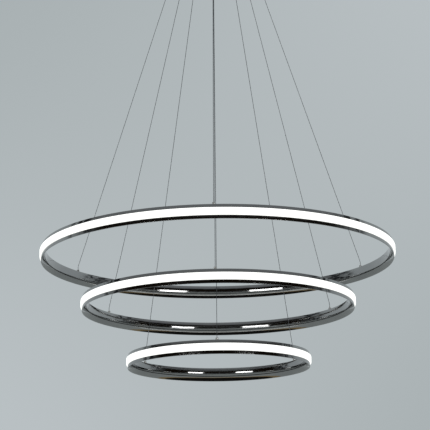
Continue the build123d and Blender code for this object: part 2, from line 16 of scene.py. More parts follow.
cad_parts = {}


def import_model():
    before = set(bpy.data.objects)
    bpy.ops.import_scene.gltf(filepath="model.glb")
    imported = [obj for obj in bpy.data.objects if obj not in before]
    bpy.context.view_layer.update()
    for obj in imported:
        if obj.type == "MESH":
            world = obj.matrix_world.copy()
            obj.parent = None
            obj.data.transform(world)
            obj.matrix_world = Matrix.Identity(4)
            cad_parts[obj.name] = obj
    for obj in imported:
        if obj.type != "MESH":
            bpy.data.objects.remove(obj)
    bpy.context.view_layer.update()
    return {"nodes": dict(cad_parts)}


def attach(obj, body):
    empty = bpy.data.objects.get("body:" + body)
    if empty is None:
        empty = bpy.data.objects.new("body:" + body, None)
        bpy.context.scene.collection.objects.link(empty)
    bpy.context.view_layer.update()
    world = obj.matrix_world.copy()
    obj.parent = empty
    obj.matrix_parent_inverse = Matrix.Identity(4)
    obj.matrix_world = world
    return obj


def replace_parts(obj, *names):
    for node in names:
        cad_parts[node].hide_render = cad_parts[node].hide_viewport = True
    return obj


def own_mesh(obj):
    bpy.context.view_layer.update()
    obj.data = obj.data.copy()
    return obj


log = logging.getLogger("chandelier")

MM = 0.001
Point = tuple[float, float]


class WireLine(Enum):
    """The three lines of wires, seen from above: degrees from +X."""

    FRONT = -90.0
    RIGHT = 30.0
    LEFT = 150.0

    @property
    def side(self) -> str:
        """The line's name in the names of nodes and pieces."""
        return self.name.lower()

    def point(self, radius: float, height: float) -> Vector:
        """The point of this line at a radius and a height."""
        angle = radians(self.value)
        return Vector((radius * cos(angle), radius * sin(angle), height))


def linear_colour(code: str) -> tuple[float, float, float, float]:
    """Turns a hex colour into the linear colour that a shader takes.

    Args:
        code: Six hex digits, red first, with a # before them.

    Returns:
        Red, green, blue and an alpha of 1.
    """
    channels = [int(code[i : i + 2], 16) / 255 for i in (1, 3, 5)]
    bent = [c / 12.92 if c <= 0.04045 else ((c + 0.055) / 1.055) ** 2.4 for c in channels]
    return (bent[0], bent[1], bent[2], 1.0)


# ---------------------------------------------------------------- finishes

# The colour sockets of a mix node, which share their names with its other kinds of socket.
MIX_FIRST, MIX_SECOND, MIX_RESULT = 6, 7, 2
# Settings that several nodes share.
IN_COLOUR = {"data_type": "RGBA"}
EASED = {"interpolation_type": "SMOOTHSTEP"}


def add_node(
    tree: bpy.types.NodeTree,
    kind: str,
    inputs: dict[str | int, object] | None = None,
    stops: list[tuple[float, str]] | None = None,
    **settings: object,
) -> bpy.types.Node:
    """Adds a node to a tree, with its settings and what goes into it.

    Args:
        tree: The tree of a material or of the world.
        kind: The node's type, without the ShaderNode that starts it.
        inputs: What goes into each input, by its name or number: another node's output, which is
            linked, a hex colour, or a plain value.
        stops: A colour band's stops, as places from 0 to 1 with hex colours.
        settings: The node's own settings.

    Returns:
        The node.
    """
    node = tree.nodes.new(f"ShaderNode{kind}")
    for name, value in settings.items():
        setattr(node, name, value)
    for name, value in (inputs or {}).items():
        if isinstance(value, bpy.types.NodeSocket):
            tree.links.new(value, node.inputs[name])
        else:
            node.inputs[name].default_value = linear_colour(value) if isinstance(value, str) else value
    if stops:
        band = node.color_ramp.elements
        for place, colour in stops[1:-1]:
            band.new(place).color = linear_colour(colour)
        for end, (place, colour) in ((0, stops[0]), (-1, stops[-1])):
            band[end].position, band[end].color = place, linear_colour(colour)
    return node


@dataclass(frozen=True)
class Grain:
    """An uneven pattern: its patches' size in metres, its finer layers, its scale along each axis."""

    size: float
    detail: float = 3.0
    along: tuple[float, float, float] = (1.0, 1.0, 1.0)

    def over(self, tree: bpy.types.NodeTree) -> bpy.types.NodeSocket:
        """Lays the pattern over a piece, in the piece's own coordinates.

        Args:
            tree: The material's tree.

        Returns:
            The pattern's factor, from 0 to 1.
        """
        place = add_node(tree, "TexCoord").outputs["Object"]
        placed = add_node(tree, "Mapping", {"Vector": place, "Scale": self.along}).outputs["Vector"]
        scaled = {"Vector": placed, "Scale": 1 / self.size, "Detail": self.detail}
        return add_node(tree, "TexNoise", scaled).outputs["Fac"]


@dataclass(frozen=True)
class Finish:
    """A surface: two close tones in patches, a roughness that varies, and a shallow relief."""

    name: str
    colour: str
    shade: str
    roughness: float = 0.9
    haze: float = 0.0
    relief: float = 0.0
    metallic: float = 0.0
    patches: Grain = Grain(1.5)
    wear: Grain = Grain(1.5)
    form: Grain = Grain(1.5)

    # Where a pattern's factor, which stays near its middle, starts and stops to tell.
    tone_range = (0.35, 0.65)
    wear_range = (0.3, 0.7)

    def looks(self, tree: bpy.types.NodeTree) -> dict[str | int, object]:
        """What colours the surface.

        Args:
            tree: The material's tree.

        Returns:
            The shader's inputs for it.
        """
        stops = list(zip(self.tone_range, (self.colour, self.shade)))
        tones = add_node(tree, "ValToRGB", {"Fac": self.patches.over(tree)}, stops)
        return {"Base Color": tones.outputs["Color"], "Metallic": self.metallic}

    def material(self) -> bpy.types.Material:
        """Wires the finish.

        Returns:
            The material.
        """
        material = bpy.data.materials.new(self.name)
        material.use_nodes = True
        tree = material.node_tree
        tree.nodes.clear()
        worn = {
            "Value": self.wear.over(tree),
            "From Min": self.wear_range[0],
            "From Max": self.wear_range[1],
            "To Min": self.roughness,
            "To Max": self.roughness + self.haze,
        }
        inputs = self.looks(tree)
        inputs["Roughness"] = add_node(tree, "MapRange", worn).outputs["Result"]
        if self.relief:
            raised = {"Height": self.form.over(tree), "Distance": self.relief}
            inputs["Normal"] = add_node(tree, "Bump", raised).outputs["Normal"]
        shader = add_node(tree, "BsdfPrincipled", inputs)
        add_node(tree, "OutputMaterial", {"Surface": shader.outputs["BSDF"]})
        return material


@dataclass(frozen=True)
class BuffedPlate(Finish):
    """Nickel plate buffed on a mop: it mirrors, and hazes a little in 9 mm strokes of the mop."""

    roughness: float = 0.05
    haze: float = 0.04
    metallic: float = 1.0
    patches: Grain = Grain(60 * MM)
    wear: Grain = Grain(9 * MM, 6.0, (1.0, 1.0, 3.0))
    form: Grain = Grain(30 * MM, 1.0)


@dataclass(frozen=True)
class SatinMetal(Finish):
    """Plated or machined metal left as it comes: clouded in 8 mm patches over a fine satin grain.

    The real grain is about 0.1 mm. It is drawn at 0.6 mm, so that it shows.
    """

    roughness: float = 0.32
    haze: float = 0.14
    relief: float = 0.02 * MM
    metallic: float = 1.0
    patches: Grain = Grain(8 * MM, 5.0)
    wear: Grain = Grain(0.6 * MM, 4.0)
    form: Grain = Grain(0.6 * MM, 4.0)


@dataclass(frozen=True)
class DrawnWire(Finish):
    """Steel drawn through a die: bright, with marks 1.5 mm wide and five times as long."""

    roughness: float = 0.28
    haze: float = 0.14
    metallic: float = 1.0
    patches: Grain = Grain(1.5 * MM, 3.0, (1.0, 1.0, 0.2))
    wear: Grain = Grain(1.5 * MM, 3.0, (1.0, 1.0, 0.2))


@dataclass(frozen=True)
class MouldedPlastic(Finish):
    """Plastic from a mould: a soft sheen, and a skin of orange peel 0.9 mm across."""

    roughness: float = 0.45
    haze: float = 0.12
    relief: float = 0.03 * MM
    patches: Grain = Grain(20 * MM, 4.0)
    wear: Grain = Grain(0.9 * MM, 2.0)
    form: Grain = Grain(0.9 * MM, 2.0)


@dataclass(frozen=True)
class LitOpal(Finish):
    """Extruded opal silicone with the light on behind it: even, a trace warmer between the chips.

    Its patches are 16 mm, and the chips behind it about 20 mm apart. Colour and shade are its light's.
    """

    body: str = "#D9D9D6"
    strength: float = 1.0
    roughness: float = 0.38
    haze: float = 0.12
    relief: float = 0.02 * MM
    patches: Grain = Grain(16 * MM, 1.0)
    wear: Grain = Grain(1.2 * MM, 2.0)
    form: Grain = Grain(1.2 * MM, 2.0)

    tone_range = (0.0, 1.0)

    def looks(self, tree: bpy.types.NodeTree) -> dict[str | int, object]:
        """What colours the surface: its own light, over a pale body.

        Args:
            tree: The material's tree.

        Returns:
            The shader's inputs for it.
        """
        light = super().looks(tree)["Base Color"]
        return {"Base Color": self.body, "Emission Color": light, "Emission Strength": self.strength}


# Black nickel on rolled aluminium, buffed: a dark mirror, wavy by 0.25 mm where the rolls bent it.
BLACK_NICKEL = BuffedPlate("black_nickel", "#A6A7A6", "#9FA0A0", relief=0.25 * MM)
# The same plate on spun aluminium: even, and a little hazier than the rings.
CANOPY_NICKEL = BuffedPlate("canopy_nickel", "#A4A5A8", "#9C9DA1", roughness=0.08, haze=0.05)
# Nickel on turned brass: bright, with the cutter's marks left as a soft blur.
BRIGHT_NICKEL = BuffedPlate("bright_nickel", "#D2D1CE", "#C8C7C3", roughness=0.24, haze=0.1)
# Stainless strands, drawn and laid up: grey, with broken highlights.
STEEL_WIRE = DrawnWire("steel_wire", "#7E8082", "#5E6063")
# Zinc-plated pressed steel: pale blue-grey and satin.
ZINC = SatinMetal("zinc_plate", "#C9CBCD", "#B4B7BA")
# Brass as machined: yellow, with a finer satin.
BRASS = SatinMetal("brass", "#C9A55A", "#B8934A", roughness=0.26)
# Painted shade: the groove round the inner wall is coloured near-black and matt, standing in for the
# shadow inside it.
GROOVE_PAINTED_SHADE = MouldedPlastic("groove_painted_shade", "#0C0C0D", "#080809", roughness=0.55)
# Moulded polycarbonate and PVC sheath: white with a soft sheen.
WHITE_PLASTIC = MouldedPlastic("white_plastic", "#E9E9E6", "#E2E2DE")
# Unfilled moulded nylon: milky, and glossier.
MILKY_NYLON = MouldedPlastic("milky_nylon", "#DEDDD6", "#D2D1C9", roughness=0.35)
# Nylon moulded with carbon black: dark, with a soft sheen.
BLACK_NYLON = MouldedPlastic("black_nylon", "#1C1C1D", "#161617", roughness=0.4)
# White solder mask printed on a circuit board: chalky.
WHITE_BOARD = MouldedPlastic("white_board", "#F1F0EA", "#E8E7E0", roughness=0.5)
OPAL = LitOpal("opal_light", "#FDFDF7", "#FFFFFC")
# The room, which the rings mirror: smooth paint underfoot, and wool that takes the light.
FLOOR = Finish("floor", "#D8D8D5", "#D8D8D5")
CARPET_BORDER = Finish("carpet_border", "#D8B98C", "#C9A878", roughness=0.95, patches=Grain(0.4))
CARPET = Finish("carpet", "#16120E", "#1D1813", roughness=0.95, patches=Grain(0.4))

# What each carried-over node of the construction is dressed in: the start of its name.
NODE_FINISHES = {
    "mounting_plate": ZINC,
    "plate_studs": ZINC,
    "cap_nuts": BRIGHT_NICKEL,
    "led_driver": WHITE_PLASTIC,
    "driver_screws": ZINC,
    "terminal_block": MILKY_NYLON,
    "earth_screw": BRASS,
    "mains_leads": WHITE_PLASTIC,
    "output_leads": WHITE_PLASTIC,
    "gripper_stems": BRIGHT_NICKEL,
    "gripper_bushes": BLACK_NYLON,
    "gripper_locknuts": BRIGHT_NICKEL,
    "plunger": BRIGHT_NICKEL,
    "led_strip": WHITE_BOARD,
    "nipple_bushes": MILKY_NYLON,
    "nipple_nuts": BRASS,
    "wire_stops": BRASS,
    "feed_leads": WHITE_PLASTIC,
}


class Finishes:
    """Makes each finish's material once and dresses objects in it."""

    def __init__(self) -> None:
        """Starts with no material made."""
        self.made: dict[str, bpy.types.Material] = {}

    def add(self, piece: bpy.types.Object, finish: Finish) -> None:
        """Adds a finish's material to a piece, and makes it first if it is new."""
        if finish.name not in self.made:
            self.made[finish.name] = finish.material()
        piece.data.materials.append(self.made[finish.name])

    def dress(self, piece: bpy.types.Object, finish: Finish) -> None:
        """Gives a piece a finish.

        Args:
            piece: The object.
            finish: One of the finishes above.
        """
        piece.data.materials.clear()
        self.add(piece, finish)

    def dress_faces(
        self, piece: bpy.types.Object, finish: Finish, chosen: Callable[[Vector], bool]
    ) -> None:
        """Gives some faces of a dressed piece a second finish.

        Args:
            piece: The object.
            finish: The faces' finish.
            chosen: Says of a face's middle whether the face takes the finish.
        """
        self.add(piece, finish)
        slot = len(piece.data.materials) - 1
        for face in piece.data.polygons:
            if chosen(face.center):
                face.material_index = slot


# ---------------------------------------------------------------- modelling by hand


class Bench:
    """The modelling steps that several pieces share."""

    # Points nearer than these are one, in an outline and in a turned piece.
    outline_merge = 0.001 * MM
    turned_merge = 0.002 * MM
    hole_sides = 48

    @staticmethod
    def clear_selection() -> None:
        """Leaves edit mode and deselects everything."""
        if bpy.context.object and bpy.context.object.mode != "OBJECT":
            bpy.ops.object.mode_set(mode="OBJECT")
        bpy.ops.object.select_all(action="DESELECT")

    @staticmethod
    def take(piece: bpy.types.Object) -> None:
        """Selects one object and makes it the active one."""
        Bench.clear_selection()
        piece.select_set(True)
        bpy.context.view_layer.objects.active = piece

    @staticmethod
    def drawn(name: str, points: list[Point]) -> bpy.types.Object:
        """Draws a closed outline in the X-Z plane, one extruded point after another.

        Args:
            name: The new object's name.
            points: The outline's corners as (distance from the axis, height), in metres.

        Returns:
            The outline's object, in edit mode, all selected.
        """
        Bench.clear_selection()
        start = points[0]
        bpy.ops.mesh.primitive_plane_add(size=MM, location=(0, 0, 0))
        piece = bpy.context.object
        piece.name = piece.data.name = name
        bpy.ops.object.mode_set(mode="EDIT")
        bpy.ops.mesh.merge(type="CENTER")
        bpy.ops.transform.translate(value=(start[0], 0, start[1]))
        last = start
        for point in [*points[1:], start]:
            step = (point[0] - last[0], 0, point[1] - last[1])
            bpy.ops.mesh.extrude_region_move(TRANSFORM_OT_translate={"value": step})
            last = point
        bpy.ops.mesh.select_all(action="SELECT")
        bpy.ops.mesh.remove_doubles(threshold=Bench.outline_merge)
        return piece

    @staticmethod
    def turned(name: str, points: list[Point], steps: int) -> bpy.types.Object:
        """Turns a closed outline once round the Z axis, as on a lathe.

        Args:
            name: The new object's name.
            points: The outline's corners as (distance from the axis, height), in metres.
            steps: How many flats the turn is made of.

        Returns:
            The turned piece, in object mode.
        """
        piece = Bench.drawn(name, points)
        bpy.ops.mesh.spin(steps=steps, angle=2 * pi, center=(0, 0, 0), axis=(0, 0, 1))
        bpy.ops.mesh.select_all(action="SELECT")
        bpy.ops.mesh.remove_doubles(threshold=Bench.turned_merge)
        bpy.ops.mesh.delete_loose()
        bpy.ops.mesh.select_all(action="SELECT")
        bpy.ops.mesh.normals_make_consistent(inside=False)
        bpy.ops.object.mode_set(mode="OBJECT")
        return piece

    @staticmethod
    def set_out(name: str, master: bpy.types.Object, spots: list[Vector]) -> bpy.types.Object:
        """Stands copies of a piece at several spots and joins them; the piece itself goes.

        Args:
            name: The joined piece's name.
            master: The piece, standing on the Z axis.
            spots: Where its copies stand.

        Returns:
            The joined piece.
        """
        copies = []
        for spot in spots:
            Bench.take(master)
            bpy.ops.object.duplicate_move(TRANSFORM_OT_translate={"value": spot})
            copies.append(bpy.context.object)
        Bench.take(copies[0])
        for copy in copies:
            copy.select_set(True)
        bpy.ops.object.join()
        bpy.ops.object.transform_apply(location=True, rotation=False, scale=False)
        joined = bpy.context.object
        bpy.data.objects.remove(master)
        joined.name = joined.data.name = name
        return joined

    @staticmethod
    def cut(piece: bpy.types.Object, cutter: bpy.types.Object) -> None:
        """Cuts one piece's shape out of another; the cutter goes."""
        Bench.take(piece)
        bpy.ops.object.modifier_add(type="BOOLEAN")
        boolean = piece.modifiers[-1]
        boolean.operation = "DIFFERENCE"
        boolean.solver = "EXACT"
        boolean.object = cutter
        bpy.ops.object.modifier_apply(modifier=boolean.name)
        bpy.data.objects.remove(cutter)

    @staticmethod
    def drill(radius: float, depth: float, height: float) -> bpy.types.Object:
        """A round cutter that stands on the Z axis.

        Args:
            radius: The hole's radius.
            depth: How tall the cutter is.
            height: The height of its middle.

        Returns:
            The cutter.
        """
        Bench.clear_selection()
        bpy.ops.mesh.primitive_cylinder_add(
            vertices=Bench.hole_sides, radius=radius, depth=depth, location=(0, 0, height)
        )
        bpy.ops.object.transform_apply(location=True, rotation=False, scale=False)
        return bpy.context.object

    @staticmethod
    def ease_edges(piece: bpy.types.Object, width: float, segments: int = 2, angle: float = 25.0) -> None:
        """Rounds the sharp edges and smooths the shading, with flats kept flat.

        Args:
            piece: The object.
            width: The rounding's width in metres.
            segments: How many faces go round an edge.
            angle: The least angle in degrees that counts as an edge.
        """
        Bench.take(piece)
        bpy.ops.object.modifier_add(type="BEVEL")
        bevel = piece.modifiers[-1]
        bevel.width = width
        bevel.segments = segments
        bevel.limit_method = "ANGLE"
        bevel.angle_limit = radians(angle)
        bevel.use_clamp_overlap = True
        bpy.ops.object.modifier_apply(modifier=bevel.name)
        Bench.smooth(piece)

    @staticmethod
    def smooth(piece: bpy.types.Object) -> None:
        """Smooths a piece's shading by the size of its faces, so that flats stay flat."""
        Bench.take(piece)
        bpy.ops.object.shade_smooth()
        bpy.ops.object.modifier_add(type="WEIGHTED_NORMAL")
        weighted = piece.modifiers[-1]
        weighted.keep_sharp = True
        bpy.ops.object.modifier_apply(modifier=weighted.name)


def arc_points(start: Point, middle: Point, end: Point, count: int) -> list[Point]:
    """Points along the arc through three points, both ends included.

    Args:
        start: Where the arc starts.
        middle: A point that it passes halfway.
        end: Where it ends.
        count: How many runs it is divided into.

    Returns:
        The points in order.
    """
    chord = Vector((end[0] - start[0], end[1] - start[1]))
    centre_of_chord = Vector((start[0] + end[0], start[1] + end[1])) / 2
    rise = Vector(middle) - centre_of_chord
    half = chord.length / 2
    radius = (half**2 + rise.length**2) / (2 * rise.length)
    centre = Vector(middle) - rise.normalized() * radius
    first = Vector(start) - centre
    sweep = first.angle_signed(Vector(end) - centre)
    turned = [Matrix.Rotation(-sweep * i / count, 2) @ first + centre for i in range(count + 1)]
    return [(p.x, p.y) for p in turned]


# ---------------------------------------------------------------- rings


@dataclass
class Ring:
    """One hoop: a bent channel, the opal band in its slot, and what its wires end in."""

    size: str
    diameter: float
    top: float
    exit_radius: float
    height: float = 30.0 * MM
    depth: float = 10.5 * MM
    proud: float = 3.0 * MM
    wall: float = 1.5 * MM
    top_lip: float = 7.0 * MM
    bottom_lip: float = 7.5 * MM
    bulge: float = 0.9 * MM
    bevel_height: float = 10.0 * MM
    bevel_bulge: float = 0.8 * MM
    bevel_foot: float = 1.5 * MM
    groove_height: float = 1.2 * MM
    groove_depth: float = 2.4 * MM
    lean: float = 0.55 * MM
    # The cavity behind the slot: corners as (in from the inner wall, up from the bottom).
    cavity: tuple[Point, ...] = ((7.4 * MM, 4.2 * MM), (5.0 * MM, 10.4 * MM), (2.4 * MM, 14.0 * MM))
    # The opal band: its play in the slot, its round corners, and the foot that holds it.
    band_gap: float = 0.1 * MM
    band_corner: float = 2.0 * MM
    foot_thickness: float = 1.2 * MM
    foot_lip: float = 2.0 * MM
    wire_inset: float = 4.8 * MM
    bush_thickness: float = 0.8 * MM
    # The nipple: heights over its seat, and radii.
    nipple_height: float = 4.2 * MM
    nipple_radius: float = 3.0 * MM
    nipple_crown: float = 1.6 * MM
    nipple_shoulder: Point = (2.55 * MM, 0.45 * MM)
    nipple_round: float = 1.4 * MM
    nipple_bore: float = 0.8 * MM
    nipple_sink: Point = (1.2 * MM, 0.6 * MM)
    nipple_groove: float = 0.25 * MM
    nipple_groove_heights: tuple[float, ...] = (1.5 * MM, 1.3 * MM, 1.0 * MM, 0.8 * MM)
    shank_radius: float = 1.5 * MM
    shank_length: float = 6.0 * MM
    # How far past the groove's own edges its painted shade may reach.
    groove_margin: float = 0.2 * MM
    steps: int = 384
    nipple_steps: int = 40
    wall_runs: int = 10
    bevel_runs: int = 8
    corner_runs: int = 6
    eased: float = 0.3 * MM
    nipple_eased: float = 0.1 * MM

    @property
    def body(self) -> str:
        """The body that the ring's pieces ride on."""
        return f"ring_{self.size}"

    @property
    def outer(self) -> float:
        """The metal's outer radius."""
        return self.diameter / 2 - self.proud

    @property
    def wire_radius(self) -> float:
        """How far from the axis the wires meet the ring."""
        return self.outer - self.wire_inset

    @property
    def bottom(self) -> float:
        """The height of the band's lower edge."""
        return self.top - self.height

    def channel_outline(self) -> list[Point]:
        """The channel's cross-section.

        Returns:
            Its corners, from the top outer one, round the inside wall to the slot.
        """
        outer, high, low = self.outer, self.top, self.bottom
        inner = outer - self.depth
        groove_low = low + self.bevel_height
        groove_high = groove_low + self.groove_height
        bevel_start = (inner + self.groove_depth - self.bulge, groove_low)
        bevel_end = (outer - self.bevel_foot, low)
        slant = Vector((bevel_end[0] - bevel_start[0], bevel_end[1] - bevel_start[1]))
        outward = Vector((slant.y, -slant.x)).normalized()
        bevel_mid = (Vector(bevel_start) + Vector(bevel_end)) / 2 + outward * self.bevel_bulge
        wall = arc_points(
            (inner + self.bulge, high),
            (inner, (high + groove_high) / 2),
            (inner + self.bulge, groove_high),
            self.wall_runs,
        )
        bevel = arc_points(bevel_start, tuple(bevel_mid), bevel_end, self.bevel_runs)
        slot = outer - self.wall
        toe = self.cavity[0][1]
        back = self.cavity[-1][0]
        return [
            (outer - self.lean, high),
            *wall,
            (inner + self.groove_depth, groove_high),
            (inner + self.groove_depth, groove_low),
            *bevel,
            (outer, low),
            (outer, low + self.bottom_lip),
            (slot, low + self.bottom_lip),
            (slot, low + toe),
            *((inner + across, low + up) for across, up in self.cavity),
            (inner + back, high - self.wall),
            (slot, high - self.wall),
            (slot, high - self.top_lip),
            (outer, high - self.top_lip),
        ]

    def band_outline(self) -> list[Point]:
        """The opal band's cross-section: a proud, softly rounded face and a foot in the slot.

        Returns:
            Its corners, from the foot's lower inner one.
        """
        gap, corner, lip = self.band_gap, self.band_corner, self.foot_lip
        low = self.bottom + self.bottom_lip + gap
        high = self.top - self.top_lip - gap
        face = self.outer + self.proud
        foot = self.outer - self.wall - gap
        heel = foot - self.foot_thickness
        bend = corner * (1 - sin(radians(45)))
        runs = self.corner_runs
        lower = arc_points((face - corner, low), (face - bend, low + bend), (face, low + corner), runs)
        upper = arc_points((face, high - corner), (face - bend, high - bend), (face - corner, high), runs)
        return [
            (heel, low - lip),
            (foot, low - lip),
            (foot, low),
            *lower,
            *upper,
            (foot, high),
            (foot, high + lip),
            (heel, high + lip),
        ]

    def nipple_outline(self) -> list[Point]:
        """The cross-section of what a wire ends in: a turned head on the lip, a shank below it.

        Returns:
            Its corners, from the bore's upper end.
        """
        seat = self.top + self.bush_thickness
        head = seat + self.nipple_height
        side, across, down = self.nipple_radius, *self.nipple_shoulder
        crown, round_end = (self.nipple_crown, head), (side, head - self.nipple_round)
        shoulder = arc_points(crown, (across, head - down), round_end, self.corner_runs)
        depths = (0.0, self.nipple_groove, self.nipple_groove, 0.0)
        groove = [(side - sunk, seat + up) for sunk, up in zip(depths, self.nipple_groove_heights)]
        foot = self.top - self.shank_length
        return [
            (self.nipple_bore, head - self.nipple_sink[1]),
            (self.nipple_sink[0], head),
            *shoulder,
            *groove,
            (side, seat),
            (self.shank_radius, seat),
            (self.shank_radius, foot),
            (self.nipple_bore, foot),
        ]

    # Picks the channel's faces that take the groove's painted shade.
    def in_groove(self, place: Vector) -> bool:
        """Whether a point of the channel lies inside the groove round its inner wall."""
        sunk = hypot(place.x, place.y) - (self.outer - self.depth + self.bulge)
        rise = place.z - self.bottom - self.bevel_height
        margin = self.groove_margin
        return sunk > margin and -margin < rise < self.groove_height + margin

    def build(self, finishes: Finishes) -> list[bpy.types.Object]:
        """Builds the ring's own pieces.

        Args:
            finishes: Where the materials come from.

        Returns:
            The pieces.
        """
        channel = Bench.turned(f"channel_shell_{self.size}", self.channel_outline(), self.steps)
        Bench.ease_edges(channel, self.eased)
        finishes.dress(channel, BLACK_NICKEL)
        # The groove and a margin round it take the near-black painted shade.
        finishes.dress_faces(channel, GROOVE_PAINTED_SHADE, self.in_groove)
        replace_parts(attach(channel, self.body), f"channel_{self.size}")
        band = Bench.turned(f"opal_band_{self.size}", self.band_outline(), self.steps)
        Bench.smooth(band)
        finishes.dress(band, OPAL)
        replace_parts(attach(band, self.body), f"diffuser_{self.size}")
        nipple = Bench.turned("nipple", self.nipple_outline(), self.nipple_steps)
        Bench.ease_edges(nipple, self.nipple_eased)
        spots = [line.point(self.wire_radius, 0) for line in WireLine]
        nipples = Bench.set_out(f"nipple_heads_{self.size}", nipple, spots)
        finishes.dress(nipples, BRIGHT_NICKEL)
        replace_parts(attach(nipples, self.body), f"wire_nipples_{self.size}")
        return [channel, band, nipples]


# ---------------------------------------------------------------- wires


@dataclass
class Suspension:
    """The three wires of one ring: fine steel rope, taut from a gripper down to a nipple."""

    ring: Ring
    wire_top: float = -28.0 * MM
    gripper_bend: float = -76.0 * MM
    above_nipple: float = 13.0 * MM
    below_top: float = 11.0 * MM
    near_bend: float = 7.2 * MM
    diameter: float = 1.2 * MM
    strands: int = 6
    lay_length: float = 9.0 * MM
    valley: float = 0.8
    step: float = 1.0 * MM
    travel: float = 250.0 * MM
    guide_steps: int = 24

    def route(self, line: WireLine) -> list[Vector]:
        """The wire's way: down through its gripper, straight to the ring, and down into it.

        Args:
            line: Which of the three lines it hangs in.

        Returns:
            The points that shape it, from the top.
        """
        ring = self.ring
        top = line.point(ring.exit_radius, self.wire_top)
        bend = line.point(ring.exit_radius, self.gripper_bend)
        low_bend = line.point(ring.wire_radius, ring.top + self.above_nipple)
        end = line.point(ring.wire_radius, ring.top - self.below_top)
        along = (low_bend - bend).normalized() * self.near_bend
        down = Vector((0, 0, -self.near_bend))
        return [top, bend - down, bend, bend + along, low_bend - along, low_bend, low_bend + down, end]

    def centre_line(self, name: str, route: list[Vector]) -> list[Vector]:
        """Reads even steps along the smooth spline through a route.

        Args:
            name: A name for the spline while it exists.
            route: The spline's control points.

        Returns:
            Points along it, one step apart.
        """
        data = bpy.data.curves.new(name, "CURVE")
        data.dimensions = "3D"
        data.resolution_u = self.guide_steps
        spline = data.splines.new("NURBS")
        spline.points.add(len(route) - 1)
        for point, place in zip(spline.points, route):
            point.co = (*place, 1)
        spline.order_u = 3
        spline.use_endpoint_u = True
        guide = bpy.data.objects.new(name, data)
        bpy.context.scene.collection.objects.link(guide)
        mesh = bpy.data.meshes.new_from_object(guide)
        read = [v.co.copy() for v in mesh.vertices]
        bpy.data.objects.remove(guide)
        bpy.data.meshes.remove(mesh)
        line = [read[0]]
        carry = 0.0
        for start, end in zip(read, read[1:]):
            run = (end - start).length
            reach = self.step - carry
            while reach < run:
                line.append(start.lerp(end, reach / run))
                reach += self.step
            carry = run - (reach - self.step)
        if (read[-1] - line[-1]).length < self.step / 4:
            line.pop()
        line.append(read[-1])
        return line

    def rope(self, name: str, line: list[Vector], across: Vector) -> bpy.types.Object:
        """Lays twisted strands along a line.

        Args:
            name: The piece's name.
            line: The centre line's points.
            across: The level direction square to the wire's plane.

        Returns:
            The rope's object.
        """
        count = self.strands * 2
        outer = self.diameter / 2
        verts: list[Vector] = []
        for i, point in enumerate(line):
            ahead = line[min(i + 1, len(line) - 1)] - line[max(i - 1, 0)]
            side = ahead.cross(across).normalized()
            twist = 2 * pi * i * self.step / self.lay_length
            for k in range(count):
                angle = twist + 2 * pi * k / count
                reach = outer if k % 2 == 0 else outer * self.valley
                verts.append(point + (across * cos(angle) + side * sin(angle)) * reach)
        faces = [
            (
                i * count + k,
                i * count + (k + 1) % count,
                (i + 1) * count + (k + 1) % count,
                (i + 1) * count + k,
            )
            for i in range(len(line) - 1)
            for k in range(count)
        ]
        faces.append(tuple(reversed(range(count))))
        faces.append(tuple(range((len(line) - 1) * count, len(line) * count)))
        mesh = bpy.data.meshes.new(name)
        mesh.from_pydata(verts, [], faces)
        piece = bpy.data.objects.new(name, mesh)
        bpy.context.scene.collection.objects.link(piece)
        Bench.take(piece)
        bpy.ops.object.mode_set(mode="EDIT")
        bpy.ops.mesh.select_all(action="SELECT")
        bpy.ops.mesh.normals_make_consistent(inside=False)
        bpy.ops.object.mode_set(mode="OBJECT")
        bpy.ops.object.shade_smooth()
        return piece

    def build(self, finishes: Finishes) -> list[bpy.types.Object]:
        """Builds the ring's three wires.

        Args:
            finishes: Where the materials come from.

        Returns:
            The wires.
        """
        wires = []
        for line in WireLine:
            name = f"{self.ring.size}_{line.side}"
            route = self.route(line)
            centre = self.centre_line(f"guide_{name}", route)
            across = line.point(1, 0).cross(Vector((0, 0, 1)))
            wire = self.rope(f"wire_rope_{name}", centre, across)
            finishes.dress(wire, STEEL_WIRE)
            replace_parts(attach(wire, "canopy"), f"wire_{name}")
            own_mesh(wire)
            wires.append(wire)
        return wires


# ---------------------------------------------------------------- canopy


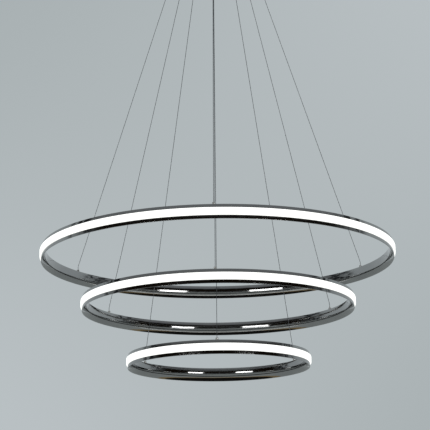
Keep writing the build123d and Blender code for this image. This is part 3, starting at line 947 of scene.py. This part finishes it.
@dataclass
class Canopy:
    """The pan against the ceiling and the grippers under it that the wires run through."""

    spots: dict[str, Vector]
    radius: float = 140.0 * MM
    depth: float = 45.0 * MM
    wall: float = 1.2 * MM
    edge: float = 8.0 * MM
    stud_offset: float = 112.0 * MM
    gripper_hole: float = 4.7 * MM
    stud_hole: float = 2.6 * MM
    flange: float = 1.0 * MM
    barrel_length: float = 22.0 * MM
    barrel_radius: float = 6.0 * MM
    # The barrel: its bore at both ends, its chamfers, and the two grooves round it from the top.
    barrel_bore: float = 4.05 * MM
    barrel_exit: float = 2.6 * MM
    cone_end: float = 2.65 * MM
    cone_heights: Point = (1.5 * MM, 8.0 * MM)
    barrel_chamfer: float = 0.5 * MM
    barrel_foot: Point = (1.2 * MM, 1.4 * MM)
    grooves: tuple[float, ...] = (4.0 * MM, 14.6 * MM)
    groove_steps: tuple[float, ...] = (0.0, 0.4 * MM, 1.0 * MM, 1.4 * MM)
    grip_flutes: int = 48
    grip_depth: float = 0.15 * MM
    grip_start: float = 5.2 * MM
    grip_length: float = 9.6 * MM
    grip_skin: float = 0.2 * MM
    spring_low: float = -55.65 * MM
    spring_rise: float = 5.3 * MM
    spring_radius: float = 2.15 * MM
    spring_wire: float = 0.25 * MM
    spring_turns: int = 4
    spring_steps: int = 24
    spring_anchor: float = -50.0 * MM
    plunger_travel: float = 2.5 * MM
    steps: int = 192
    outside_runs: int = 16
    inside_runs: int = 12
    pan_eased: float = 0.2 * MM
    pan_edge_angle: float = 40.0
    barrel_eased: float = 0.12 * MM

    def pan_outline(self) -> list[Point]:
        """The pan's cross-section: a flat floor, a round edge and an upright wall.

        Returns:
            Its corners, from the middle of the floor's upper face.
        """
        low = -self.depth
        flat = self.radius - self.edge
        bend = (self.edge - self.wall) * sin(radians(45))
        outer_bend = self.edge * sin(radians(45))
        centre = low + self.edge
        outside = arc_points(
            (flat, low),
            (flat + outer_bend, centre - outer_bend),
            (self.radius, centre),
            self.outside_runs,
        )
        inside = arc_points(
            (self.radius - self.wall, centre),
            (flat + bend, centre - bend),
            (flat, low + self.wall),
            self.inside_runs,
        )
        rim = [(self.radius, 0), (self.radius - self.wall, 0)]
        return [(0, low + self.wall), (0, low), *outside, *rim, *inside]

    def barrel_outline(self) -> list[Point]:
        """A gripper barrel's cross-section: turned steps outside, chamber and cone inside.

        Returns:
            Its corners, from the upper inner one.
        """
        high = -self.depth - self.flange
        low = high - self.barrel_length
        side, edge = self.barrel_radius, self.barrel_chamfer
        sunk = (side, side - edge, side - edge, side)
        grooves = [
            (reach, high - start - down)
            for start in self.grooves
            for reach, down in zip(sunk, self.groove_steps)
        ]
        cone_low, cone_high = self.cone_heights
        return [
            (self.barrel_bore, high),
            (side - edge, high),
            (side, high - edge),
            *grooves,
            (side, low + self.barrel_foot[1]),
            (side - self.barrel_foot[0], low),
            (self.barrel_exit, low),
            (self.barrel_exit, low + cone_low),
            (self.cone_end, low + cone_low),
            (self.barrel_bore, low + cone_high),
        ]

    def flute(self, barrel: bpy.types.Object) -> None:
        """Presses the upright flutes into the barrel's grip, between its two grooves."""
        grip_high = -self.depth - self.flange - self.grip_start
        grip_low = grip_high - self.grip_length
        for vertex in barrel.data.vertices:
            place = vertex.co
            reach = hypot(place.x, place.y)
            if grip_low < place.z < grip_high and reach > self.barrel_radius - self.grip_skin:
                turn = round(self.grip_flutes * 2 * atan2(place.y, place.x) / (2 * pi))
                if turn % 2:
                    place.xy = place.xy * ((reach - self.grip_depth) / reach)

    def spring(self, place: Vector, name: str, finishes: Finishes) -> bpy.types.Object:
        """Winds one gripper's spring, which its plunger presses together.

        Args:
            place: Where the gripper stands.
            name: The gripper's ring and side.
            finishes: Where the materials come from.

        Returns:
            The spring.
        """
        count = self.spring_turns * self.spring_steps
        data = bpy.data.curves.new(f"spring_{name}", "CURVE")
        data.dimensions = "3D"
        data.bevel_depth = self.spring_wire
        data.bevel_resolution = 2
        data.use_fill_caps = True
        winding = data.splines.new("POLY")
        winding.points.add(count)
        for i, point in enumerate(winding.points):
            angle = 2 * pi * i / self.spring_steps
            around = Vector((cos(angle), sin(angle), 0)) * self.spring_radius
            rise = Vector((0, 0, self.spring_low + self.spring_rise * i / count))
            point.co = (*(place + around + rise), 1)
        spring = bpy.data.objects.new(data.name, data)
        bpy.context.scene.collection.objects.link(spring)
        Bench.take(spring)
        bpy.ops.object.convert(target="MESH")
        spring = bpy.context.object
        bpy.ops.object.shade_smooth()
        finishes.dress(spring, STEEL_WIRE)
        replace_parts(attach(spring, "canopy"), "gripper_springs")
        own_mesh(spring)
        return spring

    def build(self, finishes: Finishes) -> list[bpy.types.Object]:
        """Builds the pan, the barrels and their springs.

        Args:
            finishes: Where the materials come from.

        Returns:
            The pieces.
        """
        pan = Bench.turned("canopy_shell", self.pan_outline(), self.steps)
        middle = self.wall / 2 - self.depth
        gripper_drill = Bench.drill(self.gripper_hole, 4 * self.wall, middle)
        places = list(self.spots.values())
        Bench.cut(pan, Bench.set_out("gripper_holes", gripper_drill, places))
        studs = [Vector((0, side * self.stud_offset, 0)) for side in (1, -1)]
        stud_drill = Bench.drill(self.stud_hole, 4 * self.wall, middle)
        Bench.cut(pan, Bench.set_out("stud_holes", stud_drill, studs))
        Bench.ease_edges(pan, self.pan_eased, angle=self.pan_edge_angle)
        finishes.dress(pan, CANOPY_NICKEL)
        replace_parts(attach(pan, "canopy"), "canopy_pan")
        barrel = Bench.turned("barrel", self.barrel_outline(), 2 * self.grip_flutes)
        Bench.ease_edges(barrel, self.barrel_eased)
        self.flute(barrel)
        barrels = Bench.set_out("gripper_shells", barrel, places)
        finishes.dress(barrels, BRIGHT_NICKEL)
        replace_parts(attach(barrels, "canopy"), "gripper_barrels")
        springs = [self.spring(place, name, finishes) for name, place in self.spots.items()]
        return [pan, barrels, *springs]


# ---------------------------------------------------------------- studio


@dataclass
class SoftBox:
    """A soft lamp that stands behind the viewer and shows as a bright bar in the rings."""

    name: str
    bearing: float
    height: float
    width: float
    tall: float
    glow: float
    distance: float = 6.0
    aim: float = -0.95

    def build(self) -> None:
        """Places the lamp, facing the rings."""
        light = bpy.data.lights.new(self.name, "AREA")
        light.shape = "RECTANGLE"
        light.size = self.width
        light.size_y = self.tall
        light.energy = self.glow * pi * self.width * self.tall
        lamp = bpy.data.objects.new(self.name, light)
        bpy.context.scene.collection.objects.link(lamp)
        angle = radians(self.bearing)
        place = Vector((sin(angle) * self.distance, -cos(angle) * self.distance, self.height))
        lamp.location = place
        lamp.rotation_euler = (Vector((0, 0, self.aim)) - place).to_track_quat("-Z", "Y").to_euler()
        lamp.visible_camera = False


@dataclass
class Studio:
    """The plain room: a backdrop colour, a pale floor, soft lamps and the viewer's camera."""

    finishes: Finishes
    floor_drop: float = 2.9
    floor_size: float = 60.0
    carpet_radius: float = 1.3
    border_radius: float = 1.6
    carpet_sides: int = 96
    lay: float = 10 * MM
    backdrop: str = "#B7BEC1"
    furniture: str = "#25272A"
    # The cloudy wall: its tones, and the height of its saddle's middle, as the direction's Z.
    cloud_light: str = "#BAC1C4"
    cloud_dark: str = "#A8B0B2"
    cloud_height: float = 0.26
    boxes: list[SoftBox] = field(default_factory=list)
    camera_distance: float = 3.033
    camera_height: float = -1.583
    camera_bearing: float = 0.95
    camera_pitch: float = 15.01
    camera_turn: float = 0.0015
    camera_roll: float = -0.0122
    lens: float = 115.15
    sensor: float = 36.0

    # Where the backdrop gives way to the dim room, as the direction's Y, and how far the rest reaches.
    ahead = {"From Min": -0.25, "From Max": 0.45}
    beside = {"From Min": 0.0, "From Max": 0.3}
    cloud_reach = {"From Min": -0.035, "From Max": 0.035}
    furniture_forms = {"Scale": 7.0, "Detail": 5.0, "Distortion": 1.6}
    furniture_edge = {"From Min": 0.48, "From Max": 0.54}
    # The dim room behind the viewer, from below (0) to above (1): warm black, then a grey ceiling.
    room_stops = [
        (0.0, "#17130F"),
        (0.44, "#1A1510"),
        (0.632, "#17120D"),
        (0.662, "#84878A"),
        (0.76, "#9A9EA1"),
        (1.0, "#B4B8BB"),
    ]

    def camera(self) -> None:
        """Sets the camera up at the photograph's angle."""
        data = bpy.data.cameras.new("viewer")
        data.lens = self.lens
        data.sensor_width = self.sensor
        camera = bpy.data.objects.new("viewer", data)
        bpy.context.scene.collection.objects.link(camera)
        about = Matrix.Rotation(radians(self.camera_bearing), 4, "Z")
        place = Matrix.Translation((0, -self.camera_distance, self.camera_height))
        turn = Matrix.Rotation(self.camera_turn, 4, "Z")
        tilt = Matrix.Rotation(radians(90 + self.camera_pitch), 4, "X")
        roll = Matrix.Rotation(self.camera_roll, 4, "Z")
        camera.matrix_world = about @ place @ turn @ tilt @ roll
        bpy.context.scene.camera = camera

    def floor(self) -> None:
        """Lays the pale floor far below the rings."""
        Bench.clear_selection()
        bpy.ops.mesh.primitive_plane_add(size=self.floor_size, location=(0, 0, -self.floor_drop))
        floor = bpy.context.object
        floor.name = "floor"
        self.finishes.dress(floor, FLOOR)

    def carpet(self) -> None:
        """Lays a dark carpet with a tan border, which only the rings' mirrored undersides show."""
        for finish, radius, layer in (
            (CARPET_BORDER, self.border_radius, 1),
            (CARPET, self.carpet_radius, 2),
        ):
            Bench.clear_selection()
            bpy.ops.mesh.primitive_circle_add(
                vertices=self.carpet_sides,
                radius=radius,
                fill_type="NGON",
                location=(0, 0, layer * self.lay - self.floor_drop),
            )
            disc = bpy.context.object
            disc.name = finish.name
            self.finishes.dress(disc, finish)
            disc.visible_camera = disc.visible_shadow = disc.visible_diffuse = False

    def room(self) -> None:
        """Colours the surroundings: the backdrop for the eye, a dim room for reflections."""
        world = bpy.data.worlds.new("room")
        bpy.context.scene.world = world
        world.use_nodes = True
        tree = world.node_tree
        tree.nodes.clear()
        direction = add_node(tree, "TexCoord").outputs["Generated"]
        axes = add_node(tree, "SeparateXYZ", {"Vector": direction}).outputs

        half_up = {0: axes["Z"], 1: 0.5, 2: 0.5}
        rise = add_node(tree, "Math", half_up, operation="MULTIPLY_ADD").outputs[0]
        behind = add_node(tree, "ValToRGB", {"Fac": rise}, self.room_stops).outputs["Color"]
        ahead = add_node(tree, "MapRange", {"Value": axes["Y"], **self.ahead}, **EASED).outputs["Result"]
        plain = {"Factor": ahead, MIX_FIRST: behind, MIX_SECOND: self.backdrop}
        plain_room = add_node(tree, "Mix", plain, **IN_COLOUR).outputs[MIX_RESULT]
        # Furniture stands to both sides, halfway between ahead and behind.
        forms = add_node(tree, "TexNoise", {"Vector": direction, **self.furniture_forms}).outputs["Fac"]
        solid = add_node(tree, "MapRange", {"Value": forms, **self.furniture_edge}, **EASED).outputs[0]
        edge_on = add_node(tree, "Math", {0: ahead, 1: 0.5}, operation="PINGPONG").outputs[0]
        beside = add_node(tree, "MapRange", {"Value": edge_on, **self.beside}, **EASED).outputs[0]
        there = add_node(tree, "Math", {0: solid, 1: beside}, operation="MULTIPLY").outputs[0]
        furnished = {"Factor": there, MIX_FIRST: plain_room, MIX_SECOND: self.furniture}
        mirrored = add_node(tree, "Mix", furnished, **IN_COLOUR).outputs[MIX_RESULT]
        # The wall is lighter above right and below left of the view's middle, and darker elsewhere.
        above = add_node(tree, "Math", {0: axes["Z"], 1: self.cloud_height}, operation="SUBTRACT")
        across = {0: above.outputs[0], 1: axes["X"]}
        aslant = add_node(tree, "Math", across, operation="MULTIPLY").outputs[0]
        cloud = add_node(tree, "MapRange", {"Value": aslant, **self.cloud_reach}, **EASED).outputs[0]
        cloudy = {"Factor": cloud, MIX_FIRST: self.cloud_dark, MIX_SECOND: self.cloud_light}
        wall = add_node(tree, "Mix", cloudy, **IN_COLOUR).outputs[MIX_RESULT]
        rays = add_node(tree, "LightPath").outputs
        direct = {0: rays["Is Camera Ray"], 1: rays["Is Diffuse Ray"]}
        unmirrored = add_node(tree, "Math", direct, operation="MAXIMUM").outputs[0]
        seen = {"Factor": unmirrored, MIX_FIRST: mirrored, MIX_SECOND: wall}
        colour = add_node(tree, "Mix", seen, **IN_COLOUR).outputs[MIX_RESULT]
        background = add_node(tree, "Background", {"Color": colour}).outputs["Background"]
        add_node(tree, "OutputWorld", {"Surface": background})

    def build(self) -> None:
        """Builds the whole studio."""
        self.camera()
        self.floor()
        self.carpet()
        self.room()
        for box in self.boxes:
            box.build()
        bpy.context.scene.view_settings.view_transform = "Standard"


# ---------------------------------------------------------------- the light


def dress_nodes(frame: dict, finishes: Finishes) -> None:
    """Gives each carried-over node of the construction its finish.

    Args:
        finishes: Where the materials come from.
    """
    for name, node in frame["nodes"].items():
        for start, finish in NODE_FINISHES.items():
            if name.startswith(start):
                finishes.dress(node, finish)


def main() -> None:
    """Builds the light and its studio, and reports each piece."""
    logging.basicConfig(level=logging.INFO, format="%(message)s")
    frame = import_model()
    finishes = Finishes()
    Studio(
        finishes,
        boxes=[
            SoftBox("box_right", bearing=34.0, height=-0.86, width=2.2, tall=0.9, glow=6.0),
            SoftBox("box_left", bearing=-34.0, height=-0.86, width=2.6, tall=0.9, glow=6.0),
        ]
    ).build()
    dress_nodes(frame, finishes)
    rings = [
        Ring("large", diameter=800 * MM, top=-853 * MM, exit_radius=87 * MM),
        Ring("middle", diameter=615 * MM, top=-964 * MM, exit_radius=61 * MM),
        Ring("small", diameter=410 * MM, top=-1092 * MM, exit_radius=36 * MM),
    ]
    pieces: list[bpy.types.Object] = []
    for ring in rings:
        pieces += Suspension(ring).build(finishes)
        pieces += ring.build(finishes)
    spots = {f"{r.size}_{line.side}": line.point(r.exit_radius, 0) for r in rings for line in WireLine}
    pieces += Canopy(spots).build(finishes)
    for piece in pieces:
        log.info("%s: %d faces", piece.name, len(piece.data.polygons))


if __name__ == "__main__":
    main()
